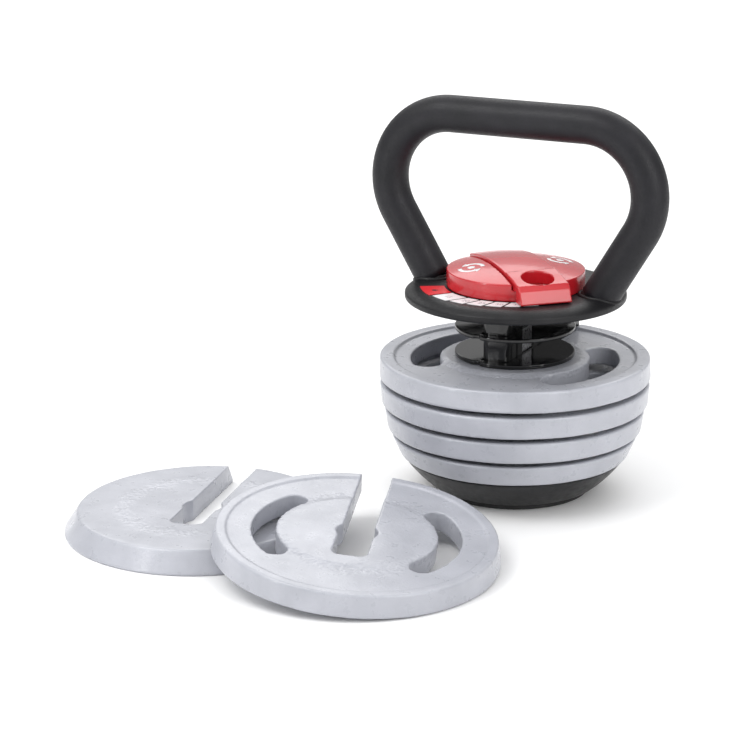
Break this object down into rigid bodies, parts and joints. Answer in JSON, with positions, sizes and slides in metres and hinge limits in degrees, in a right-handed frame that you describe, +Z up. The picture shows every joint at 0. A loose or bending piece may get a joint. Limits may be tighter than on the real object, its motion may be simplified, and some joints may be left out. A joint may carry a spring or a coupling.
{
  "type": "adjustable kettlebell",
  "caption": "Adjustable kettlebell with a bent tube handle, slotted round plates on a spined core, a lock dial, and loose plates lying beside it.",
  "frame": {"origin": "centre of the foot pad's underside, on the floor", "axes": "+Z up, +X along the handle's top bar, -Y the side the plates slide off towards"},
  "size_m": [0.3694, 0.3958, 0.286],
  "materials": {
    "handle_coat": "matt powder coat",
    "flange_coat": "matt powder coat",
    "plate_paint": "thick satin grey paint over cast iron",
    "base_black": "satin black paint over cast iron",
    "core_black": "gloss black enamel",
    "disc_black": "gloss black",
    "dial_red": "gloss moulded",
    "label_red": "printed film",
    "label_white": "printed film",
    "nylon": "natural",
    "bronze": "sintered",
    "steel": "machined",
    "black_steel": "black oxide",
    "spring_steel": "hardened",
    "foot_rubber": "matt"
  },
  "bodies": {
    "root": {"handle_tube": "handle_coat", "handle_plugs": "steel", "handle_screws": "black_steel", "flange": "flange_coat", "scale_red_cell": "label_red", "scale_white_cells": "label_white", "thrust_washer": "nylon", "upper_bush": "bronze", "lower_bush": "bronze", "detent_spring": "spring_steel", "core_nose": "core_black", "core_spine": "core_black", "core_top_screws": "black_steel", "core_base_screws": "black_steel", "spacer_disc_1": "disc_black", "spacer_disc_2": "disc_black", "spacer_disc_3": "disc_black", "spacer_disc_4": "disc_black", "spacer_disc_5": "disc_black", "base_bowl": "base_black", "foot_pad": "foot_rubber", "foot_screws": "black_steel"},
    "dial": {"dial_body": "dial_red", "dial_bar": "dial_red", "dial_screw": "steel", "dial_washer": "steel", "lock_shaft": "steel", "shaft_circlip": "spring_steel"},
    "detent": {"detent_plunger": "steel"},
    "plate_1": {"plate_1": "plate_paint"},
    "plate_2": {"plate_2": "plate_paint"},
    "plate_3": {"plate_3": "plate_paint"},
    "plate_4": {"plate_4": "plate_paint"},
    "plate_5": {"plate_5": "plate_paint"},
    "plate_6": {"plate_6": "plate_paint"}
  },
  "joints": [
    {"name": "dial_turn", "type": "hinge", "parent": "root", "child": "dial", "pos_m": [0, 0, 0.156], "axis": [0, 0, 1], "range_deg": [-90, 0]},
    {"name": "detent_press", "type": "slide", "parent": "root", "child": "detent", "axis": [0, 0, 1], "range_m": [-0.001, 0.0008], "stiffness_N_per_m": 400, "deforming": ["detent_spring"]},
    {"name": "plate_1_slide", "type": "slide", "parent": "root", "child": "plate_1", "axis": [0, -1, 0], "range_m": [0, 0.018]},
    {"name": "plate_2_slide", "type": "slide", "parent": "root", "child": "plate_2", "axis": [0, -1, 0], "range_m": [0, 0.136]},
    {"name": "plate_3_slide", "type": "slide", "parent": "root", "child": "plate_3", "axis": [0, -1, 0], "range_m": [0, 0.136]},
    {"name": "plate_4_slide", "type": "slide", "parent": "root", "child": "plate_4", "axis": [0, -1, 0], "range_m": [0, 0.136]},
    {"name": "plate_6_lift", "type": "slide", "parent": "root", "child": "plate_6", "axis": [-0.9, 0, 0.4359], "range_m": [0, 0.2]},
    {"name": "plate_5_lift", "type": "slide", "parent": "plate_6", "child": "plate_5", "axis": [-0.9, 0, 0.4359], "range_m": [0, 0.2]}
  ]
}
